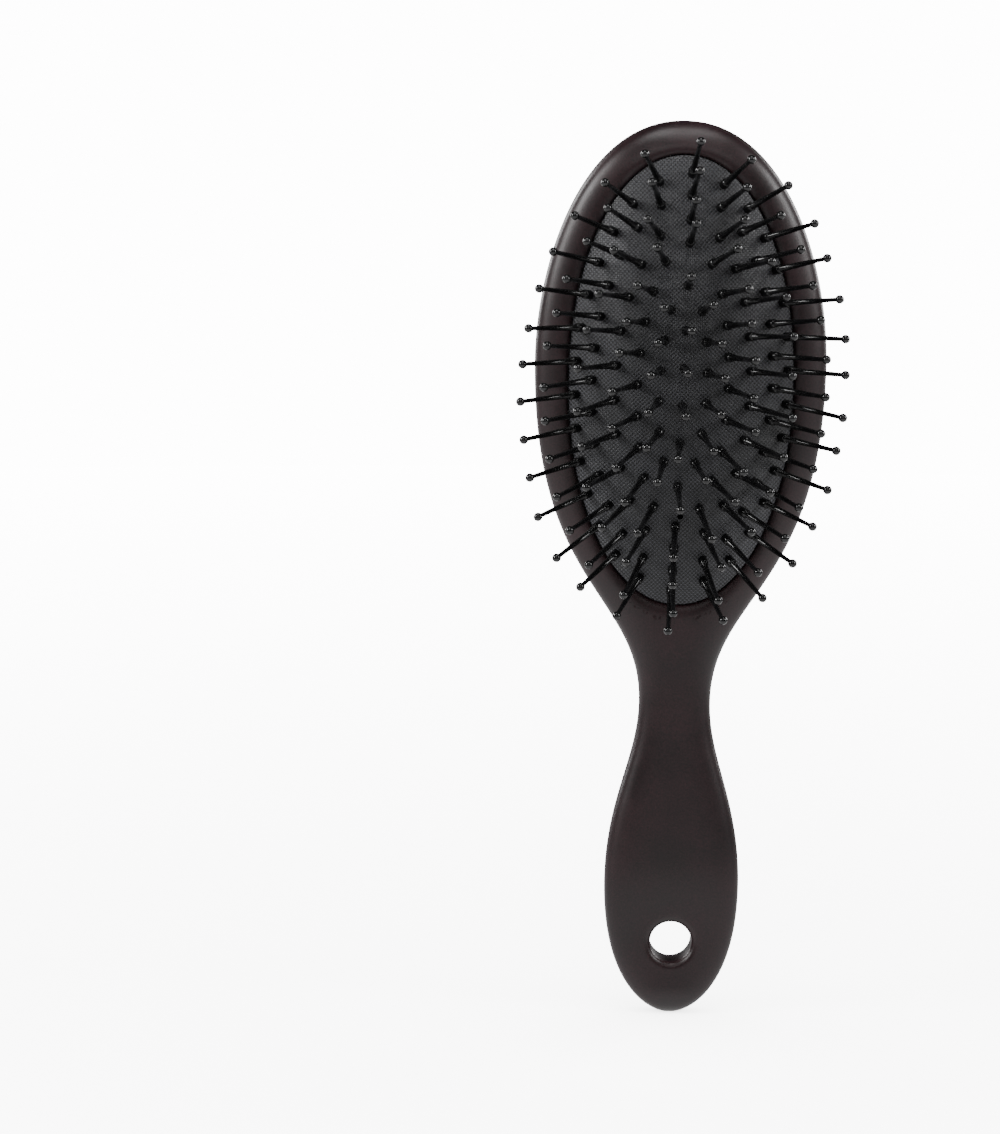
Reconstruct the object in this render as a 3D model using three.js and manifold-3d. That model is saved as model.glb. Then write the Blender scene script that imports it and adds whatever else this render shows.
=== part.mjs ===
// Oval cushion brush. Units are millimetres. The origin is the centre of the hanging hole,
// +Z runs up the handle to the head, X across, and the pins point along -Y.
import * as THREE from "three";
import { ParametricGeometry } from "three/addons/geometries/ParametricGeometry.js";
import { mergeVertices } from "three/addons/utils/BufferGeometryUtils.js";
import Module from "manifold-3d";

const wasm = await Module();
wasm.setup();

// The outline, as half-widths at heights above the hanging hole.
const headTop = 205.5;
const headWidest = headTop - 59.6;
const headHalfWidth = 36.1;
const neckHeight = 60.5;
const neckHalfWidth = 8.9;
const handleWidest = 14.2;
const handleHalfWidth = 16.9;
const tailRound = -18.9;
const tailFlat = tailRound + 0.2; // the gate mark at the tail is cut flat here

// How far each stretch of the outline keeps its direction on leaving and reaching those places.
const topReach = 25.2;
const shoulderRise = 24.4;
const headDrop = 57;
const neckRise = 27.7;
const neckDrop = 14.6;
const gripRise = 21.5;
const gripDrop = 27.8;
const tailReach = 4;

// The hanging hole, through the handle along Y, with a rounded mouth on each face.
const holeRadius = 5.2;
const holeMouth = 1.6;
const holeWall = 10.6;
const holeSides = 24;
const mouthSteps = 3;

// Depths of the body in front of and behind its parting line, at heights up the brush.
const frontDepths = [
  [tailRound, 5.0], [0, holeWall / 2], [20, 6.5], [neckHeight, 6.4], [85, 7.1], [140, 8.0], [headTop, 7.6],
];
const backDepths = [
  [tailRound, 5.0], [0, holeWall / 2], [20, 6.8], [neckHeight, 6.8], [95, 8.4], [140, 9.0], [headTop, 8.2],
];
const headEndRound = 14;
const tailEndRound = 6.5;
const sectionPower = 3.2; // 2 is an ellipse, more is squarer
const bodySides = 24;
const bodyStations = 38;

// The recess in the head and the groove round it that holds the cushion's bead.
const padHeight = headTop - 63.7;
const rimWidth = 8.2;
const openingHalfWidth = headHalfWidth - rimWidth;
const openingHalfHeight = 55.8;
const ovalPower = 2.06;
const recessFloor = 4.6;
const grooveFront = -5.2;
const grooveBack = -2.8;
const grooveDepth = 1.9;
const clearance = 0.3;
const ovalSides = 40;
const sliver = 0.03; // slivers thinner than this, left by the cuts and joins, are merged away

// The air cushion.
const domeHeight = 13.2;
const domePower = 2.25;
const domeEdge = -6.6; // the dome meets the lip of the opening here
const rubber = 1.4;
const wallInset = clearance + rubber; // from the opening's edge to the inner face of the cushion's wall
const innerDrop = 0.35; // the inner face sits this much lower, so the rubber stays thick at its edge
const ventRadius = 0.75;
const ventHeight = padHeight - 32.3;

// The outermost ring of pins stands this far inside the inner face of the cushion's wall. Each ring
// is how many pins it has, and its shares of the outermost ring's half-width and half-height. The
// pins of the outer rings are parts of their own; the inner rings and the centre row are joined to
// the cushion.
const ringSideInset = 0.4;
const ringEndInset = 2.9;
const outerRings = [[30, 1, 1], [28, 0.849, 0.898]];
const innerRings = [[22, 0.636, 0.785], [20, 0.426, 0.678], [14, 0.221, 0.48]];
const centrePins = 4;
const centrePitch = 9.2;
const patternTurn = THREE.MathUtils.degToRad(1.9);

// One pin, measured from the rubber's outer face.
const pinLength = 20.4;
const ballRadius = 1.1;
const shaftTipRadius = 0.5;
const shaftRootRadius = 0.8;
const collarRadius = 1.15;
const collarLength = 2.3;
const neckRadius = 0.6;
const flangeRadius = 1.5;
const flangeLength = 1.0;
const flangeGap = 0.55;
const pinSides = 5;

const softTouch = new THREE.MeshStandardMaterial({ color: "#241a1b", roughness: 0.55 });
const blackRubber = new THREE.MeshStandardMaterial({ color: "#141415", roughness: 0.7 });
const blackNylon = new THREE.MeshStandardMaterial({ color: "#0b0b0c", roughness: 0.25 });

// A closed solid from a three.js geometry, with its seams welded and its empty faces dropped.
function solid(geometry) {
  const bare = new THREE.BufferGeometry().setAttribute("position", geometry.getAttribute("position"));
  bare.setIndex(geometry.getIndex());
  const welded = mergeVertices(bare, 1e-3);
  const corners = welded.getIndex().array;
  const kept = [];
  for (let i = 0; i < corners.length; i += 3) {
    const [a, b, c] = corners.slice(i, i + 3);
    if (a !== b && b !== c && c !== a) kept.push(a, b, c);
  }
  const vertProperties = new Float32Array(welded.getAttribute("position").array);
  return new wasm.Manifold(new wasm.Mesh({ numProp: 3, vertProperties, triVerts: new Uint32Array(kept) }));
}

function geometryOf(shape) {
  const { vertProperties, triVerts } = shape.getMesh();
  const geometry = new THREE.BufferGeometry();
  geometry.setAttribute("position", new THREE.BufferAttribute(new Float32Array(vertProperties), 3));
  geometry.setIndex(new THREE.BufferAttribute(new Uint32Array(triVerts), 1));
  geometry.computeVertexNormals();
  return geometry;
}

// The half outline from the top of the head to the tail: x is the half-width, y the height.
function outline() {
  const v = (x, y) => new THREE.Vector2(x, y);
  const path = new THREE.CurvePath();
  const widest = v(headHalfWidth, headWidest);
  const neck = v(neckHalfWidth, neckHeight);
  const grip = v(handleHalfWidth, handleWidest);
  const below = (point, drop) => v(point.x, point.y - drop);
  const stretches = [
    [v(0, headTop), v(topReach, headTop), below(widest, -shoulderRise), widest],
    [widest, below(widest, headDrop), below(neck, -neckRise), neck],
    [neck, below(neck, neckDrop), below(grip, -gripRise), grip],
    [grip, below(grip, gripDrop), v(tailReach, tailRound), v(0, tailRound)],
  ];
  stretches.forEach((points) => path.add(new THREE.CubicBezierCurve(...points)));
  return path;
}

// Depth at a height: a smooth curve through the listed depths, rounded off at both ends.
function depthAt(height, curve) {
  let low = 0;
  let high = 1;
  for (let i = 0; i < 30; i += 1) {
    const middle = (low + high) / 2;
    if (curve.getPoint(middle).x < height) low = middle;
    else high = middle;
  }
  const rounding = (gap, radius) => {
    const part = Math.max(0, 1 - gap / radius);
    return Math.sqrt(Math.max(0, 1 - part * part));
  };
  const ends = rounding(headTop - height, headEndRound) * rounding(height - tailRound, tailEndRound);
  return curve.getPoint(low).y * ends;
}

// A point on a superellipse, as the shares of its two half-sizes.
function squircle(angle, power) {
  const share = (value) => Math.sign(value) * Math.abs(value) ** (2 / power);
  return [share(Math.cos(angle)), share(Math.sin(angle))];
}

function bodyBlank() {
  const edge = outline();
  const asCurve = (list) => new THREE.SplineCurve(list.map(([z, depth]) => new THREE.Vector2(z, depth)));
  const front = asCurve(frontDepths);
  const back = asCurve(backDepths);
  const place = (u, v, target) => {
    const at = edge.getPointAt(Math.min(1, Math.max(0, v)));
    const [across, deep] = squircle(-u * 2 * Math.PI, sectionPower);
    const depth = depthAt(at.y, deep < 0 ? front : back);
    target.set(at.x * across, depth * deep, at.y);
  };
  return solid(new ParametricGeometry(place, bodySides, bodyStations));
}

// An oval at a depth, inset from the opening's edge by the same amount all round, or a share of it.
function oval(inset, depth, share = 1) {
  return [(openingHalfWidth - inset) * share, depth, (openingHalfHeight - inset) * share];
}

// A lathe about Y whose rings are stretched to the listed ovals and moved up to the pad.
function ovalLathe(ovals) {
  const geometry = new THREE.LatheGeometry(ovals.map(([r, y]) => new THREE.Vector2(r, y)), ovalSides);
  const points = geometry.getAttribute("position");
  for (let i = 0; i < points.count; i += 1) {
    const [halfWidth, depth, halfHeight] = ovals[i % ovals.length];
    const angle = Math.atan2(points.getZ(i), points.getX(i));
    const [across, along] = squircle(angle, ovalPower);
    points.setXYZ(i, halfWidth * across, depth, padHeight + halfHeight * along);
  }
  return solid(geometry);
}

function recessCutter() {
  const inFront = -20;
  return ovalLathe([
    oval(0, inFront, 0), oval(0, inFront), oval(0, grooveFront), oval(-grooveDepth, grooveFront),
    oval(-grooveDepth, grooveBack), oval(0, grooveBack), oval(0, recessFloor), oval(0, recessFloor, 0),
  ]);
}

function holeCutter() {
  const reach = 12;
  const mouthStart = holeWall / 2 - holeMouth;
  const side = [];
  for (let step = 0; step <= mouthSteps; step += 1) {
    const turn = step / mouthSteps * Math.PI / 2;
    side.push([holeRadius + holeMouth * (1 - Math.cos(turn)), mouthStart + holeMouth * Math.sin(turn)]);
  }
  side.push([holeRadius + holeMouth, reach]);
  const mirrored = side.map(([r, y]) => [r, -y]).reverse();
  const profile = [[0, -reach], ...mirrored, ...side, [0, reach]];
  return solid(new THREE.LatheGeometry(profile.map(([r, y]) => new THREE.Vector2(r, y)), holeSides));
}

function tailCutter() {
  const block = new THREE.BoxGeometry(60, 60, 20);
  return solid(block.translate(0, 0, tailFlat - 10));
}

function handleBody() {
  return bodyBlank().subtract(recessCutter()).subtract(holeCutter()).subtract(tailCutter());
}

// Depth of the dome's outer face at a share of the way from its centre to its edge.
function domeDepth(share, height = domeHeight) {
  return domeEdge - height * (1 - share ** domePower);
}

function cushionShell() {
  const shares = [0, 0.22, 0.42, 0.6, 0.75, 0.88];
  const bead = clearance - grooveDepth;
  const beadFront = grooveFront + clearance;
  const beadBack = grooveBack - clearance;
  const outer = shares.map((share) => oval(clearance, domeDepth(share), share));
  const innerDepth = (share) => domeDepth(share, domeHeight - rubber) + innerDrop;
  const inner = shares.map((share) => oval(wallInset, innerDepth(share), share));
  const edge = [
    oval(clearance, domeEdge), oval(clearance, beadFront), oval(bead, beadFront), oval(bead, beadBack),
    oval(wallInset, beadBack), oval(wallInset, domeEdge + innerDrop),
  ];
  return ovalLathe([...outer, ...edge, ...inner.reverse()]);
}

// Where a pin stands on the dome and which way it leans: straight out of the dome's face.
function pinSeat(x, height) {
  const across = x / openingHalfWidth;
  const along = (height - padHeight) / openingHalfHeight;
  const share = Math.hypot(across, along);
  const steepness = domePower * domeHeight * share ** (domePower - 2);
  const slopeX = steepness * across / openingHalfWidth;
  const slopeZ = steepness * along / openingHalfHeight;
  const lean = new THREE.Vector3(slopeX, -1, slopeZ).normalize();
  return { base: new THREE.Vector3(x, domeDepth(share), height), lean };
}

// Seats evenly spaced round one oval ring, the first at the top.
function ringSeats([count, sideShare, endShare]) {
  const halfWidth = (openingHalfWidth - wallInset - ringSideInset) * sideShare;
  const halfHeight = (openingHalfHeight - wallInset - ringEndInset) * endShare;
  const top = Math.PI / 2;
  const end = top - 2 * Math.PI;
  const ring = new THREE.EllipseCurve(0, 0, halfWidth, halfHeight, top, end, true, -patternTurn);
  ring.arcLengthDivisions = 2000;
  const points = ring.getSpacedPoints(count).slice(0, count);
  return points.map((point) => pinSeat(point.x, padHeight + point.y));
}

function centreSeats() {
  const seats = [];
  for (let i = 0; i < centrePins; i += 1) {
    const along = (i - (centrePins - 1) / 2) * centrePitch;
    seats.push(pinSeat(along * Math.sin(patternTurn), padHeight + along * Math.cos(patternTurn)));
  }
  return seats;
}

// Turns +Y to the way a seat's pin leans.
function turnTo(seat) {
  return new THREE.Quaternion().setFromUnitVectors(new THREE.Vector3(0, 1, 0), seat.lean);
}

// A solid made along +Y, stood on a seat for a cut or a join.
function stand(geometry, seat) {
  return solid(geometry.applyQuaternion(turnTo(seat)).translate(...seat.base));
}

// A pin by its profile: the root's points, then the collar, the tapered shaft and the ball.
function pinGeometry(root) {
  const tip = [
    [shaftRootRadius, collarLength], [shaftTipRadius, pinLength - 1.9 * ballRadius],
    [ballRadius, pinLength - ballRadius], [ballRadius * 0.7, pinLength - ballRadius * 0.3], [0, pinLength],
  ];
  const profile = [...root, ...tip].map(([r, y]) => new THREE.Vector2(r, y));
  return new THREE.LatheGeometry(profile, pinSides);
}

// A pin of its own: its neck passes the rubber, with the flange under it and the collar on it.
function loosePin() {
  const flangeTop = -rubber - flangeGap;
  return pinGeometry([
    [0, flangeTop - flangeLength], [flangeRadius, flangeTop - flangeLength * 0.6], [neckRadius, flangeTop],
    [neckRadius, clearance], [collarRadius, clearance],
  ]);
}

// A pin joined to the rubber that carries it.
function rootedPin() {
  return pinGeometry([[0, -rubber / 2], [collarRadius, -rubber / 2]]);
}

function pinHole() {
  return new THREE.CylinderGeometry(neckRadius + clearance, neckRadius + clearance, 4 * rubber, pinSides);
}

function ventHole() {
  const vent = new THREE.CylinderGeometry(ventRadius, ventRadius, 6 * rubber, 12);
  const share = Math.abs(ventHeight - padHeight) / openingHalfHeight;
  return solid(vent.translate(0, domeDepth(share), ventHeight));
}

const outerSeats = outerRings.map(ringSeats);
const innerSeats = [...innerRings.flatMap(ringSeats), ...centreSeats()];

function cushionPad() {
  let pad = cushionShell().subtract(ventHole());
  for (const seat of outerSeats.flat()) pad = pad.subtract(stand(pinHole(), seat));
  for (const seat of innerSeats) pad = pad.add(stand(rootedPin(), seat));
  return pad.simplify(sliver);
}

const brush = new THREE.Group();
brush.name = "paddle_brush";

function addPart(name, geometry, material) {
  const mesh = new THREE.Mesh(geometry, material.clone());
  mesh.name = name;
  brush.add(mesh);
  return mesh;
}

addPart("handle_body", geometryOf(handleBody()), softTouch);
addPart("cushion_pad", geometryOf(cushionPad()), blackRubber);
outerSeats.forEach((seats, ring) => {
  seats.forEach((seat, index) => {
    const mesh = addPart(`pin_ring${ring + 1}_${String(index + 1).padStart(2, "0")}`, loosePin(), blackNylon);
    mesh.position.copy(seat.base);
    mesh.quaternion.copy(turnTo(seat));
  });
});

export default brush;
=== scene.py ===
import math
import random

import bmesh
import bpy
from mathutils import Matrix, Vector


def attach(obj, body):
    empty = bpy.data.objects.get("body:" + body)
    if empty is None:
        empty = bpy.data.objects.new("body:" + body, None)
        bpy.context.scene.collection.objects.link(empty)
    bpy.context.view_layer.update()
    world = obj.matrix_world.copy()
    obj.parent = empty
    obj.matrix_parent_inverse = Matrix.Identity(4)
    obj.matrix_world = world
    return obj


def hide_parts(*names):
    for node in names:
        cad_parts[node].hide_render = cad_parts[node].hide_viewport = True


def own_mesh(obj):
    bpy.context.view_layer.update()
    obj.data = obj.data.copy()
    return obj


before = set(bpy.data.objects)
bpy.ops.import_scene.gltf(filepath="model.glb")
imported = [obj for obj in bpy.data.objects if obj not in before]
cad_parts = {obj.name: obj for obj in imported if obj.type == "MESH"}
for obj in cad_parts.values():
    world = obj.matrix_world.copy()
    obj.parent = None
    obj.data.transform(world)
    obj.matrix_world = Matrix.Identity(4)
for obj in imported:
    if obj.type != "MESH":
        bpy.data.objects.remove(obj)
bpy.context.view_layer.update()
mm = 0.001
weldGap = 0.01 * mm

# the handle and head, in millimetres: z is height above the hanging hole and the pins point along -y;
# the reaches, rises and drops are the lengths of the arms that shape the outline's Bezier curves
body = {
    "headTop": 205.5, "headWidest": 145.9, "headHalfWidth": 36.1,
    "neckHeight": 60.5, "neckHalfWidth": 8.9,
    "gripHeight": 14.2, "gripHalfWidth": 16.9,
    "tail": -18.9, "tailFlat": -18.7,
    "topReach": 25.2, "shoulderRise": 24.4, "headDrop": 57, "neckRise": 27.7,
    "neckDrop": 14.6, "gripRise": 21.5, "gripDrop": 27.8, "tailReach": 4,
    "frontDepths": [(-18.9, 5.0), (0, 5.3), (20, 6.5), (60.5, 6.4), (85, 7.1), (140, 8.0), (205.5, 7.6)],
    "backDepths": [(-18.9, 5.0), (0, 5.3), (20, 6.8), (60.5, 6.8), (95, 8.4), (140, 9.0), (205.5, 8.2)],
    "headEndRound": 14, "tailEndRound": 6.5,
    "sectionPower": 3.2, "sides": 120, "stations": 150, "fineStations": 1200, "endNarrow": 0.12,
    "holeRadius": 5.2, "holeMouth": 1.6, "holeSides": 72, "lipWide": 3.2, "lipDeep": 1.2,
    "roundSteps": 6, "cutMargin": 0.3, "cutReach": 12,
    "clearWide": 0.4, "clearAhead": 0.25, "farWide": 1.0, "farAhead": 20,
    "seamHalf": 0.16, "seamDeep": 0.1,
}

# the recess, the groove and the rubber dome that sits in them
pad = {
    "height": 141.8, "halfWidth": 27.9, "halfHeight": 55.8, "ovalPower": 2.06,
    "floor": 4.6, "grooveFront": -5.2, "grooveBack": -2.8, "grooveDepth": 1.9, "gap": 0.3,
    "domeHeight": 13.2, "domePower": 2.25, "domeEdge": -6.6, "rubber": 1.4,
    "ventRadius": 0.75, "ventDrop": 32.3, "ventSides": 24, "ventCut": 8,
    "beadBevel": 0.4, "sides": 160, "domeRings": 44, "innerEvery": 4, "poleShare": 0.15,
}

# the outermost ring's half-width and half-height, then each ring's count and shares of them
pinField = {
    "outermost": (25.8, 51.2),
    "rings": [(30, 1, 1), (28, 0.849, 0.898), (22, 0.636, 0.785), (20, 0.426, 0.678), (14, 0.221, 0.48)],
    "looseRings": 2, "centrePins": 4, "centrePitch": 9.2, "turn": 1.9, "leanScatter": 1.2, "seed": 11,
    "arcSteps": 2000,
}

# one pin: its radii, and distances along it from the rubber's outer face
pin = {
    "length": 20.4, "ball": 1.1, "shaftTip": 0.5, "shaftRoot": 0.8,
    "collar": 1.15, "collarLength": 2.3, "collarRound": 0.25, "collarSink": 0.1, "collarStep": 0.2,
    "shaftFoot": 0.15, "ballFoot": 0.1, "neck": 0.6,
    "flange": 1.5, "flangeLength": 1.0, "flangeGap": 0.4, "sides": 14, "ballSteps": 6, "ballFrom": 28,
}


def bezier(points, t):
    a, b, c, d = (Vector(p) for p in points)
    s = 1 - t
    return a * s ** 3 + b * 3 * s * s * t + c * 3 * s * t * t + d * t ** 3


def outlineCurves():
    top = (0, body["headTop"])
    wide = (body["headHalfWidth"], body["headWidest"])
    neck = (body["neckHalfWidth"], body["neckHeight"])
    grip = (body["gripHalfWidth"], body["gripHeight"])
    return [
        [top, (body["topReach"], top[1]), (wide[0], wide[1] + body["shoulderRise"]), wide],
        [wide, (wide[0], wide[1] - body["headDrop"]), (neck[0], neck[1] + body["neckRise"]), neck],
        [neck, (neck[0], neck[1] - body["neckDrop"]), (grip[0], grip[1] + body["gripRise"]), grip],
        [grip, (grip[0], grip[1] - body["gripDrop"]), (body["tailReach"], body["tail"]), (0, body["tail"])],
    ]


def spreadAlong(points, count):
    # places evenly spaced by distance along a chain of points, both its ends included
    run = [0.0]
    for a, b in zip(points, points[1:]):
        run.append(run[-1] + (b - a).length)
    spread = []
    k = 0
    for i in range(count + 1):
        goal = run[-1] * i / count
        while k < len(run) - 2 and run[k + 1] < goal:
            k += 1
        part = (goal - run[k]) / (run[k + 1] - run[k])
        spread.append(points[k].lerp(points[k + 1], part))
    return spread


def outlineStations(count):
    # points evenly spaced along the half outline, from the top of the head to the tail
    steps = 200
    fine = [bezier(curve, i / steps) for curve in outlineCurves() for i in range(steps)]
    fine.append(Vector((0, body["tail"])))
    return spreadAlong(fine, count)


outlineFine = outlineStations(body["fineStations"])


def halfWidthAt(z):
    low, high = 0, len(outlineFine) - 1
    while high - low > 1:
        middle = (low + high) // 2
        if outlineFine[middle].y > z:
            low = middle
        else:
            high = middle
    a, b = outlineFine[low], outlineFine[high]
    part = (a.y - z) / max(a.y - b.y, 1e-9)
    return a.x + (b.x - a.x) * part


def smoothThrough(points, z):
    # a Catmull-Rom curve through (height, depth) points
    k = 0
    while k < len(points) - 2 and points[k + 1][0] < z:
        k += 1
    p0, p1 = points[max(k - 1, 0)], points[k]
    p2, p3 = points[k + 1], points[min(k + 2, len(points) - 1)]
    t = (z - p1[0]) / (p2[0] - p1[0])
    span = p2[0] - p1[0]
    slope1 = (p2[1] - p0[1]) / (p2[0] - p0[0]) * span
    slope2 = (p3[1] - p1[1]) / (p3[0] - p1[0]) * span
    return ((2 * t ** 3 - 3 * t * t + 1) * p1[1] + (t ** 3 - 2 * t * t + t) * slope1
            + (3 * t * t - 2 * t ** 3) * p2[1] + (t ** 3 - t * t) * slope2)


def endRound(gap, radius):
    part = max(0.0, 1 - gap / radius)
    return math.sqrt(max(0.0, 1 - part * part))


def depthAt(z, side):
    z = min(max(z, body["tail"]), body["headTop"])
    headEnd = endRound(body["headTop"] - z, body["headEndRound"])
    tailEnd = endRound(z - body["tail"], body["tailEndRound"])
    return smoothThrough(body[side], z) * (headEnd * tailEnd)


def squircle(angle, power):
    def share(value):
        return math.copysign(abs(value) ** (2 / power), value)
    return share(math.cos(angle)), share(math.sin(angle))


def frontAt(x, z):
    # y of the body's front face
    across = min(abs(x) / max(halfWidthAt(z), 1e-6), 1)
    return -depthAt(z, "frontDepths") * (1 - across ** body["sectionPower"]) ** (1 / body["sectionPower"])


def loftRings(bm, rings, sides):
    # each ring is a function that gives the point at an angle; the first and last are capped
    loops = []
    for i, place in enumerate(rings):
        made = bmesh.ops.create_circle(bm, segments=sides, radius=1, cap_ends=i in (0, len(rings) - 1))
        for v in made["verts"]:
            v.co = Vector(place(math.atan2(v.co.y, v.co.x))) * mm
        loops.append(list({e for v in made["verts"] for e in v.link_edges}))
    for a, b in zip(loops, loops[1:]):
        bmesh.ops.bridge_loops(bm, edges=a + b)
    faceOutwards(bm)


def faceOutwards(bm):
    bmesh.ops.recalc_face_normals(bm, faces=bm.faces)
    if bm.calc_volume(signed=True) < 0:
        bmesh.ops.reverse_faces(bm, faces=bm.faces)


def shadeSmooth(bm, sharpAngle):
    for face in bm.faces:
        face.smooth = True
    for edge in bm.edges:
        if len(edge.link_faces) == 2:
            edge.smooth = edge.calc_face_angle(0) < math.radians(sharpAngle)


def makeObject(name, bm, material, sharpAngle=40):
    shadeSmooth(bm, sharpAngle)
    mesh = bpy.data.meshes.new(name)
    bm.to_mesh(mesh)
    bm.free()
    obj = bpy.data.objects.new(name, mesh)
    bpy.context.scene.collection.objects.link(obj)
    if material:
        mesh.materials.append(material)
    return obj


def cutAway(obj, bm):
    # cuts the closed shape in bm out of obj
    cutter = makeObject("cutter", bm, None)
    cut = obj.modifiers.new("cut", "BOOLEAN")
    cut.operation = "DIFFERENCE"
    cut.solver = "EXACT"
    cut.use_self = True
    cut.object = cutter
    bpy.context.view_layer.update()
    done = bpy.data.meshes.new_from_object(obj.evaluated_get(bpy.context.evaluated_depsgraph_get()))
    obj.modifiers.clear()
    old = obj.data
    obj.data = done
    done.name = old.name
    bpy.data.meshes.remove(old)
    bpy.data.objects.remove(cutter)


def refreshShading(obj, sharpAngle=35):
    bm = bmesh.new()
    bm.from_mesh(obj.data)
    bmesh.ops.remove_doubles(bm, verts=bm.verts, dist=weldGap)
    shadeSmooth(bm, sharpAngle)
    bm.to_mesh(obj.data)
    bm.free()


def newMaterial(name, **settings):
    material = bpy.data.materials.new(name)
    material.use_nodes = True
    shader = material.node_tree.nodes["Principled BSDF"]
    for socket, value in settings.items():
        shader.inputs[socket].default_value = value
    return material, material.node_tree, shader


def noiseAt(tree, coordinates, scale, detail=3.0, roughness=0.5):
    noise = tree.nodes.new("ShaderNodeTexNoise")
    noise.inputs["Scale"].default_value = scale
    noise.inputs["Detail"].default_value = detail
    noise.inputs["Roughness"].default_value = roughness
    tree.links.new(coordinates, noise.inputs["Vector"])
    return noise.outputs["Fac"]


def ramp(tree, value, stops):
    node = tree.nodes.new("ShaderNodeValToRGB")
    elements = node.color_ramp.elements
    while len(elements) < len(stops):
        elements.new(0.5)
    for element, (place, color) in zip(elements, stops):
        element.position = place
        element.color = color
    tree.links.new(value, node.inputs["Fac"])
    return node.outputs["Color"]


def mapRange(tree, value, fromLow, fromHigh, toLow, toHigh):
    node = tree.nodes.new("ShaderNodeMapRange")
    for key, number in zip(("From Min", "From Max", "To Min", "To Max"), (fromLow, fromHigh, toLow, toHigh)):
        node.inputs[key].default_value = number
    tree.links.new(value, node.inputs["Value"])
    return node.outputs["Result"]


def maths(tree, operation, a, b=None):
    node = tree.nodes.new("ShaderNodeMath")
    node.operation = operation
    for socket, value in zip(node.inputs, (a, b)):
        if value is None:
            continue
        if isinstance(value, (int, float)):
            socket.default_value = value
        else:
            tree.links.new(value, socket)
    return node.outputs[0]


def bump(tree, height, distance, strength, previous=None):
    node = tree.nodes.new("ShaderNodeBump")
    node.inputs["Strength"].default_value = strength
    node.inputs["Distance"].default_value = distance
    tree.links.new(height, node.inputs["Height"])
    if previous:
        tree.links.new(previous, node.inputs["Normal"])
    return node.outputs["Normal"]


coat = {
    "deep": (0.0060, 0.0008, 0.0014, 1), "light": (0.0230, 0.0056, 0.0080, 1),
    "deepAt": 0.40, "lightAt": 0.64,
    "grainScale": 2600, "grainShare": 0.55, "grainBump": 0.00004,
    "mottleScale": 60, "mottleBump": 0.0004,
    "scuffScale": 420, "scuffRough": 0.05, "roughLow": 0.33, "roughHigh": 0.43,
    "specular": 0.55, "sheen": 0.04, "sheenRough": 0.45, "sheenTint": (0.75, 0.62, 0.72, 1),
}


def softTouchCoat():
    # very dark plum-brown soft-touch lacquer: a fine speckle over slow cloudy variation
    material, tree, shader = newMaterial("softTouchCoat", Metallic=0.0, IOR=1.5)
    shader.inputs["Specular IOR Level"].default_value = coat["specular"]
    shader.inputs["Sheen Weight"].default_value = coat["sheen"]
    shader.inputs["Sheen Roughness"].default_value = coat["sheenRough"]
    shader.inputs["Sheen Tint"].default_value = coat["sheenTint"]
    where = tree.nodes.new("ShaderNodeTexCoord").outputs["Object"]
    grain = noiseAt(tree, where, coat["grainScale"], 2.0)
    mottle = noiseAt(tree, where, coat["mottleScale"], 4.0, 0.6)
    scuff = noiseAt(tree, where, coat["scuffScale"], 6.0, 0.7)
    speckle = maths(tree, "MULTIPLY", grain, coat["grainShare"])
    clouds = maths(tree, "MULTIPLY", mottle, 1 - coat["grainShare"])
    blend = maths(tree, "ADD", speckle, clouds)
    color = ramp(tree, blend, [(coat["deepAt"], coat["deep"]), (coat["lightAt"], coat["light"])])
    tree.links.new(color, shader.inputs["Base Color"])
    rough = mapRange(tree, mottle, 0.3, 0.7, coat["roughLow"], coat["roughHigh"])
    scuffed = maths(tree, "ADD", rough, maths(tree, "MULTIPLY", scuff, coat["scuffRough"]))
    tree.links.new(scuffed, shader.inputs["Roughness"])
    fine = bump(tree, grain, coat["grainBump"], 0.35)
    tree.links.new(bump(tree, mottle, coat["mottleBump"], 0.05, fine), shader.inputs["Normal"])
    return material


# the lighter grey below is a painted highlight on the ribs between the pits
rubberLook = {
    "pitch": 1.05, "emboss": 0.00014,
    "dark": (0.0015, 0.0015, 0.0018, 1), "ribHighlightGrey": (0.040, 0.040, 0.048, 1),
    "darkAt": 0.15, "ribHighlightAt": 0.6, "pitFrom": -0.35, "pitTo": 0.6,
    "wornScale": 900, "wornBump": 0.00003, "cloudScale": 55,
    "roughLow": 0.42, "roughHigh": 0.58, "specular": 0.6,
}


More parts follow.
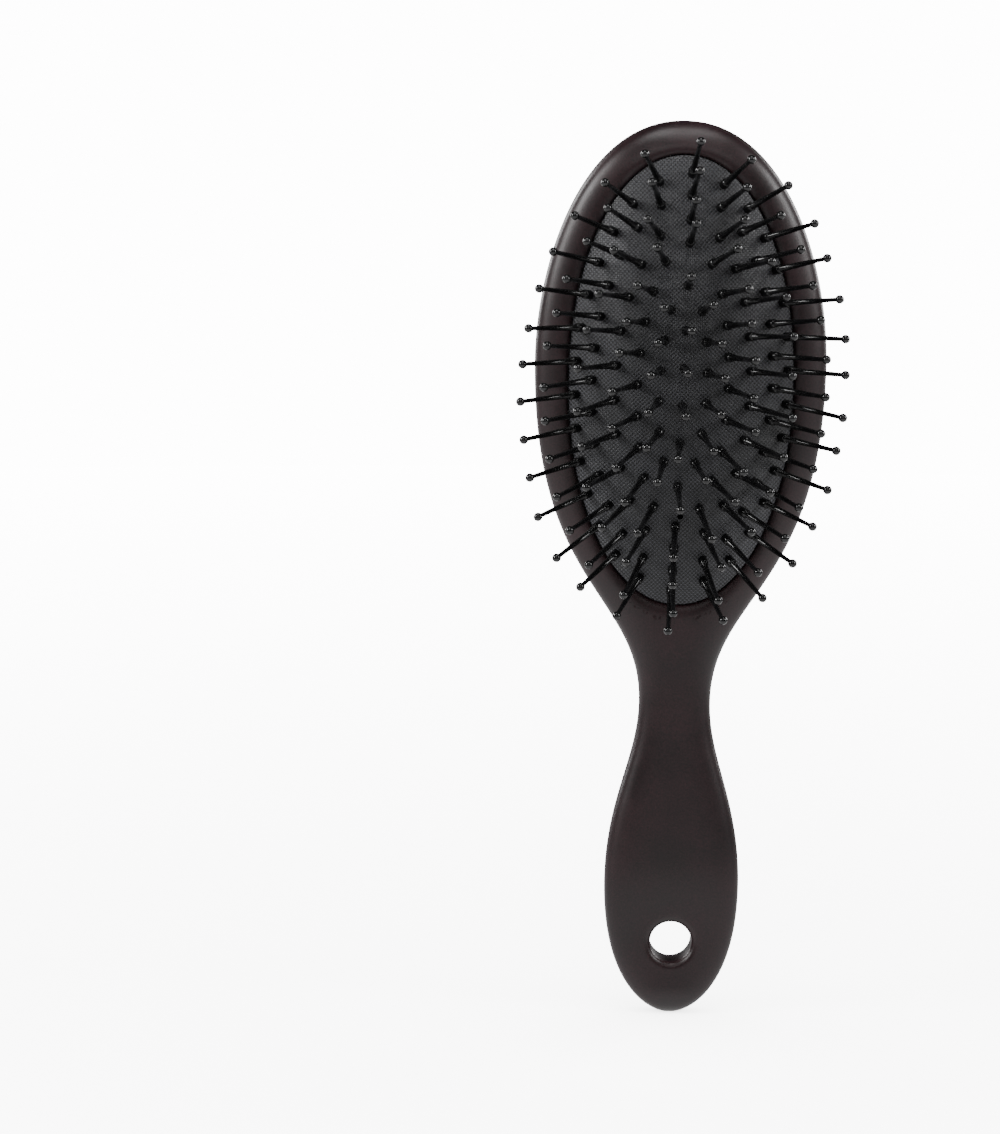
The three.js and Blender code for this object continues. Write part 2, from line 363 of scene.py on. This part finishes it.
def embossedRubber():
    # black rubber with a small diagonal lattice of pits; painted highlight: the ribs between them are painted
    # greyer, more under some slow clouds than others, and the pits keep the dark colour as painted shade
    material, tree, shader = newMaterial("embossedRubber", IOR=1.5)
    shader.inputs["Specular IOR Level"].default_value = rubberLook["specular"]
    where = tree.nodes.new("ShaderNodeTexCoord").outputs["Object"]
    split = tree.nodes.new("ShaderNodeSeparateXYZ")
    tree.links.new(where, split.inputs["Vector"])
    turns = 2 * math.pi / (rubberLook["pitch"] * mm)
    along = maths(tree, "MULTIPLY", split.outputs["Z"], turns)
    across = maths(tree, "MULTIPLY", split.outputs["X"], turns)
    pits = maths(tree, "MULTIPLY", maths(tree, "SINE", along), maths(tree, "SINE", across))
    worn = noiseAt(tree, where, rubberLook["wornScale"], 3.0)
    cloud = noiseAt(tree, where, rubberLook["cloudScale"], 3.0)
    raised = mapRange(tree, pits, rubberLook["pitFrom"], rubberLook["pitTo"], 1.0, 0.0)
    # painted highlight: grey laid on the ribs and none in the pits, scaled by a slow cloud
    ribHighlight = maths(tree, "MULTIPLY", raised, cloud)
    stops = [(rubberLook["darkAt"], rubberLook["dark"]), (rubberLook["ribHighlightAt"], rubberLook["ribHighlightGrey"])]
    color = ramp(tree, ribHighlight, stops)
    tree.links.new(color, shader.inputs["Base Color"])
    rough = mapRange(tree, worn, 0.3, 0.7, rubberLook["roughLow"], rubberLook["roughHigh"])
    tree.links.new(rough, shader.inputs["Roughness"])
    lattice = bump(tree, raised, rubberLook["emboss"], 1.0)
    tree.links.new(bump(tree, worn, rubberLook["wornBump"], 0.4, lattice), shader.inputs["Normal"])
    return material


nylonLook = {
    "deep": (0.0025, 0.0025, 0.0028, 1), "light": (0.006, 0.0058, 0.0065, 1),
    "flowScale": 700, "flowBump": 0.00001, "roughLow": 0.08, "roughHigh": 0.20, "specular": 0.55,
}


def pinNylon():
    # gloss black nylon with faint flow marks
    material, tree, shader = newMaterial("pinNylon", IOR=1.53)
    shader.inputs["Specular IOR Level"].default_value = nylonLook["specular"]
    where = tree.nodes.new("ShaderNodeTexCoord").outputs["Object"]
    flow = noiseAt(tree, where, nylonLook["flowScale"], 3.0)
    color = ramp(tree, flow, [(0.3, nylonLook["deep"]), (0.7, nylonLook["light"])])
    tree.links.new(color, shader.inputs["Base Color"])
    rough = mapRange(tree, flow, 0.3, 0.7, nylonLook["roughLow"], nylonLook["roughHigh"])
    tree.links.new(rough, shader.inputs["Roughness"])
    tree.links.new(bump(tree, flow, nylonLook["flowBump"], 0.12), shader.inputs["Normal"])
    return material


coatMaterial = softTouchCoat()
rubberMaterial = embossedRubber()
nylonMaterial = pinNylon()


def bodyRing(station):
    front = depthAt(station.y, "frontDepths")
    back = depthAt(station.y, "backDepths")

    def place(angle):
        across, deep = squircle(angle, body["sectionPower"])
        return station.x * across, deep * (front if deep < 0 else back), station.y
    return place


def ovalPoint(angle, grow=0.0):
    # a point of the opening's oval, grown outwards by a distance
    across, along = squircle(angle, pad["ovalPower"])
    return (pad["halfWidth"] + grow) * across, pad["height"] + (pad["halfHeight"] + grow) * along


def ovalRing(grow, y):
    def place(angle):
        x, z = ovalPoint(angle, grow)
        return x, y, z
    return place


def quarterTurns():
    steps = body["roundSteps"]
    return [math.radians(step * 90 / steps) for step in range(steps + 1)]


def lipRing(turn):
    # one ring of the rounded lip: turn 0 is on the wall, a quarter turn is on the front face
    def place(angle):
        x, z = ovalPoint(angle, body["lipWide"] * (1 - math.cos(turn)))
        return x, frontAt(x, z) + body["lipDeep"] * (1 - math.sin(turn)), z
    return place


def clearRing(grow, ahead):
    def place(angle):
        x, z = ovalPoint(angle, grow)
        return x, frontAt(x, z) - ahead, z
    return place


def recessShape():
    bm = bmesh.new()
    groove = pad["grooveDepth"]
    rings = [ovalRing(0, pad["floor"]), ovalRing(0, pad["grooveBack"]), ovalRing(groove, pad["grooveBack"]),
             ovalRing(groove, pad["grooveFront"]), ovalRing(0, pad["grooveFront"])]
    rings += [lipRing(turn) for turn in quarterTurns()]
    # the last two rings are clear of the face
    rings.append(clearRing(body["lipWide"] + body["clearWide"], body["clearAhead"]))
    rings.append(ovalRing(body["lipWide"] + body["farWide"], -body["farAhead"]))
    loftRings(bm, rings, pad["sides"])
    return bm


def holeRing(turn, front):
    mouth = body["holeMouth"]
    radius = body["holeRadius"] + mouth * (1 - math.cos(turn))

    def place(angle):
        x, z = radius * math.cos(angle), radius * math.sin(angle)
        face = frontAt(x, z)
        sunk = mouth * (1 - math.sin(turn))
        return x, face + sunk if front else -face - sunk, z
    return place


def flatRing(radius, y):
    def place(angle):
        return radius * math.cos(angle), y, radius * math.sin(angle)
    return place


def holeShape():
    bm = bmesh.new()
    outer = body["holeRadius"] + body["holeMouth"] + body["cutMargin"]
    rings = [flatRing(outer, -body["cutReach"])] + [holeRing(turn, True) for turn in reversed(quarterTurns())]
    rings += [holeRing(turn, False) for turn in quarterTurns()] + [flatRing(outer, body["cutReach"])]
    loftRings(bm, rings, body["holeSides"])
    return bm


def partingSeam(bm):
    # a hairline groove round the edge, where the two halves of the mould meet
    for side in (-1, 1):
        bmesh.ops.bisect_plane(bm, geom=bm.verts[:] + bm.edges[:] + bm.faces[:], dist=1e-7,
                               plane_co=(0, side * body["seamHalf"] * mm, 0), plane_no=(0, 1, 0))
    bm.normal_update()
    for v in bm.verts:
        if abs(v.co.y) < 1e-6:
            v.co -= v.normal * body["seamDeep"] * mm


def makeBody():
    bm = bmesh.new()
    stations = outlineStations(body["stations"])
    stations[0] = stations[0].lerp(stations[1], body["endNarrow"])
    stations[-1] = stations[-1].lerp(stations[-2], body["endNarrow"])
    loftRings(bm, [bodyRing(s) for s in stations], body["sides"])
    tail = Vector((0, 0, body["tailFlat"] * mm))
    cut = bmesh.ops.bisect_plane(bm, geom=bm.verts[:] + bm.edges[:] + bm.faces[:], plane_co=tail,
                                 plane_no=(0, 0, -1), clear_outer=True)
    rim = [e for e in cut["geom_cut"] if isinstance(e, bmesh.types.BMEdge)]
    bmesh.ops.contextual_create(bm, geom=rim)
    partingSeam(bm)
    faceOutwards(bm)
    obj = makeObject("handleAndHead", bm, coatMaterial)
    cutAway(obj, recessShape())
    cutAway(obj, holeShape())
    refreshShading(obj)
    return obj


def domeY(share, height):
    return pad["domeEdge"] - height * (1 - share ** pad["domePower"])


def domeRing(share, inset, height):
    def place(angle):
        across, along = squircle(angle, pad["ovalPower"])
        x = (pad["halfWidth"] - inset) * share * across
        z = pad["height"] + (pad["halfHeight"] - inset) * share * along
        return x, domeY(share, height), z
    return place


def makeCushion():
    bm = bmesh.new()
    gap, thick, groove = pad["gap"], pad["rubber"], pad["grooveDepth"]
    count, every, bevel = pad["domeRings"], pad["innerEvery"], pad["beadBevel"]
    front, back = pad["grooveFront"] + gap, pad["grooveBack"] - gap
    shares = [max(i, pad["poleShare"]) / count for i in range(count + 1)]
    outer = [domeRing(share, gap, pad["domeHeight"]) for share in shares]
    inner = [domeRing(share, gap + thick, pad["domeHeight"] - thick) for share in shares[::every]]
    bead = [ovalRing(-gap, front), ovalRing(groove - gap - bevel, front),
            ovalRing(groove - gap, front + bevel), ovalRing(groove - gap, back - bevel),
            ovalRing(groove - gap - bevel, back), ovalRing(-gap - thick, back)]
    loftRings(bm, outer + bead + inner[::-1], pad["sides"])
    obj = makeObject("rubberCushion", bm, rubberMaterial)
    vent = bmesh.new()
    ventShare = pad["ventDrop"] / pad["halfHeight"]
    at = Vector((0, domeY(ventShare, pad["domeHeight"]), pad["height"] - pad["ventDrop"])) * mm
    place = Matrix.Translation(at) @ Matrix.Rotation(math.radians(90), 4, "X")
    radius = pad["ventRadius"] * mm
    bmesh.ops.create_cone(vent, segments=pad["ventSides"], radius1=radius, radius2=radius,
                          depth=pad["ventCut"] * mm, cap_ends=True, matrix=place)
    cutAway(obj, vent)
    refreshShading(obj, sharpAngle=50)
    return obj


def pinSeat(x, z):
    # where a pin stands on the dome, and the way the dome faces there
    across, along = x / pad["halfWidth"], z / pad["halfHeight"]
    share = math.hypot(across, along)
    steep = pad["domePower"] * pad["domeHeight"] * share ** (pad["domePower"] - 2)
    lean = Vector((steep * across / pad["halfWidth"], -1, steep * along / pad["halfHeight"])).normalized()
    return Vector((x, domeY(share, pad["domeHeight"]), pad["height"] + z)), lean


def ringSeats(count, sideShare, endShare):
    # evenly spaced round an ellipse from its top, clockwise, the whole ring turned a little
    halfWidth = pinField["outermost"][0] * sideShare
    halfHeight = pinField["outermost"][1] * endShare
    fine = pinField["arcSteps"]
    turns = [2 * math.pi * i / fine for i in range(fine + 1)]
    points = [Vector((halfWidth * math.sin(turn), halfHeight * math.cos(turn))) for turn in turns]
    ringTurn = Matrix.Rotation(-math.radians(pinField["turn"]), 2)
    places = [ringTurn @ place for place in spreadAlong(points, count)[:count]]
    return [pinSeat(place.x, place.y) for place in places]


def centreSeats():
    turn = math.radians(pinField["turn"])
    seats = []
    for i in range(pinField["centrePins"]):
        along = (i - (pinField["centrePins"] - 1) / 2) * pinField["centrePitch"]
        seats.append(pinSeat(along * math.sin(turn), along * math.cos(turn)))
    return seats


def pinProfile():
    # (radius, distance from the rubber) from the flange to the tip
    length, ball, collar, reach = pin["length"], pin["ball"], pin["collar"], pin["collarLength"]
    under = -pad["rubber"] - pin["flangeGap"]
    flange, foot = pin["flange"], under - pin["flangeLength"]
    profile = [(0, foot), (flange * 0.8, foot), (flange, under - pin["flangeLength"] * 0.6),
               (pin["neck"], under), (pin["neck"], -pin["collarSink"]), (collar, -pin["collarSink"]),
               (collar, reach - pin["collarRound"]), (collar - pin["collarStep"], reach),
               (pin["shaftRoot"], reach + pin["shaftFoot"]),
               (pin["shaftTip"], length - 2 * ball + pin["ballFoot"])]
    steps, first = pin["ballSteps"], pin["ballFrom"]
    for step in range(steps):
        turn = math.radians(first + step * (180 - first) / steps)
        profile.append((ball * math.sin(turn), length - ball - ball * math.cos(turn)))
    return profile + [(0, length)]


def makePin(name, seat, scatter):
    base, lean = seat
    bm = bmesh.new()
    verts = [bm.verts.new((r * mm, 0, s * mm)) for r, s in pinProfile()]
    for a, b in zip(verts, verts[1:]):
        bm.edges.new((a, b))
    bmesh.ops.spin(bm, geom=bm.verts[:] + bm.edges[:], cent=(0, 0, 0), axis=(0, 0, 1), angle=2 * math.pi,
                   steps=pin["sides"], use_merge=True)
    bmesh.ops.remove_doubles(bm, verts=bm.verts, dist=weldGap)
    faceOutwards(bm)
    turn = lean.to_track_quat("Z", "Y").to_matrix().to_4x4()
    tilt, roll = (math.radians(angle) for angle in scatter)
    bend = Matrix.Rotation(tilt, 4, "X") @ Matrix.Rotation(roll, 4, "Y")
    bmesh.ops.transform(bm, matrix=Matrix.Translation(base * mm) @ turn @ bend, verts=bm.verts)
    return makeObject(name, bm, nylonMaterial, sharpAngle=50)


def makePins():
    chance = random.Random(pinField["seed"])

    def scatter():
        return chance.gauss(0, pinField["leanScatter"]), chance.gauss(0, pinField["leanScatter"])
    for ring, sizes in enumerate(pinField["rings"], 1):
        for i, seat in enumerate(ringSeats(*sizes), 1):
            loose = ring <= pinField["looseRings"]
            node = f"pin_ring{ring}_{i:02d}"
            obj = makePin(f"pinRing{ring}No{i:02d}", seat, scatter())
            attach(obj, node if loose else "cushion")
            if loose:
                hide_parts(node)
    for i, seat in enumerate(centreSeats(), 1):
        obj = makePin(f"pinCentreNo{i}", seat, scatter())
        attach(obj, "cushion")


handleAndHead = makeBody()
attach(handleAndHead, "handle")
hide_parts("handle_body")
print("handle and head made", len(handleAndHead.data.polygons))

rubberCushion = makeCushion()
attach(rubberCushion, "handle")
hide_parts("cushion_pad")
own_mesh(rubberCushion)
print("cushion made", len(rubberCushion.data.polygons))

makePins()
print("pins made")


floorLook = {
    "near": 8.0, "far": 14.0, "nearTo": 0.1, "shadowDarkest": 0.35, "contact": 0.06,
    "radius": 1.1, "sides": 96, "base": (0.75, 0.75, 0.75, 1),
}


def makeStage():
    # a pale round floor that fades into the white all round it, a little darker where it is touched: a
    # painted contact shadow
    material, tree, shader = newMaterial("paleFloor", Roughness=1.0)
    shader.inputs["Base Color"].default_value = floorLook["base"]
    shader.inputs["Emission Color"].default_value = (1, 1, 1, 1)
    where = tree.nodes.new("ShaderNodeTexCoord").outputs["Object"]
    away = tree.nodes.new("ShaderNodeVectorMath")
    away.operation = "LENGTH"
    tree.links.new(where, away.inputs[0])
    glow = mapRange(tree, away.outputs["Value"], floorLook["nearTo"], floorLook["radius"],
                    floorLook["near"], floorLook["far"])
    # painted shadow: ambient occlusion darkens the floor's glow close to the brush
    contact = tree.nodes.new("ShaderNodeAmbientOcclusion")
    contact.inputs["Distance"].default_value = floorLook["contact"]
    shade = mapRange(tree, contact.outputs["AO"], 0, 1, floorLook["shadowDarkest"], 1)
    tree.links.new(maths(tree, "MULTIPLY", glow, shade), shader.inputs["Emission Strength"])
    bm = bmesh.new()
    place = Matrix.Translation((0, 0, body["tailFlat"] * mm))
    bmesh.ops.create_circle(bm, segments=floorLook["sides"], radius=floorLook["radius"],
                            cap_ends=True, matrix=place)
    floor = makeObject("floor", bm, material)
    floor.visible_diffuse = False
    floor.visible_glossy = False


lamps = {
    "leftBox": {"at": (-0.85, -0.32, 0.55), "size": (0.30, 0.50), "power": 9.0},
    "rightBox": {"at": (0.85, -0.32, 0.55), "size": (0.30, 0.50), "power": 6.5},
    "topBox": {"at": (0.0, -0.25, 1.0), "size": (0.5, 0.25), "power": 3.0},
    "frontFill": {"at": (0.0, -1.1, 0.75), "size": (0.7, 0.4), "power": 1.8},
    "leftBackBox": {"at": (-0.7, 0.75, 0.35), "size": (0.30, 0.50), "power": 5.0},
    "rightBackBox": {"at": (0.7, 0.75, 0.35), "size": (0.30, 0.50), "power": 5.0},
}


def makeLights():
    aim = Vector((0, 0, 0.1))  # the middle of the brush
    for name, lamp in lamps.items():
        light = bpy.data.lights.new(name, "AREA")
        light.shape = "RECTANGLE"
        light.size, light.size_y = lamp["size"]
        light.energy = lamp["power"]
        obj = bpy.data.objects.new(name, light)
        obj.location = lamp["at"]
        obj.rotation_mode = "QUATERNION"
        obj.rotation_quaternion = (aim - obj.location).to_track_quat("-Z", "Y")
        bpy.context.scene.collection.objects.link(obj)


room = {"seen": 14.0, "lit": 0.05, "low": 1.2, "lowFrom": -0.29, "lowTo": -0.12}


def makeRoom():
    # the room reads white to the eye, but what it lights and reflects is dim, and brighter low down
    world = bpy.data.worlds.new("studio")
    world.use_nodes = True
    tree = world.node_tree
    background = tree.nodes["Background"]
    background.inputs["Color"].default_value = (1, 1, 1, 1)
    split = tree.nodes.new("ShaderNodeSeparateXYZ")
    tree.links.new(tree.nodes.new("ShaderNodeTexCoord").outputs["Generated"], split.inputs["Vector"])
    lit = mapRange(tree, split.outputs["Z"], room["lowFrom"], room["lowTo"], room["low"], room["lit"])
    seen = tree.nodes.new("ShaderNodeLightPath").outputs["Is Camera Ray"]
    strength = maths(tree, "MAXIMUM", lit, maths(tree, "MULTIPLY", seen, room["seen"]))
    tree.links.new(strength, background.inputs["Strength"])
    bpy.context.scene.world = world


camera = {"at": (-0.0413, -1.0848, 0.2560), "turn": (81.51, -0.70, 0.25), "lens": 139.7}


def makeCamera():
    data = bpy.data.cameras.new("camera")
    data.lens = camera["lens"]
    data.sensor_width = 36
    obj = bpy.data.objects.new("camera", data)
    obj.location = camera["at"]
    obj.rotation_euler = [math.radians(a) for a in camera["turn"]]
    bpy.context.scene.collection.objects.link(obj)
    bpy.context.scene.camera = obj


makeStage()
makeLights()
makeRoom()
makeCamera()
print("stage, lights and camera made")
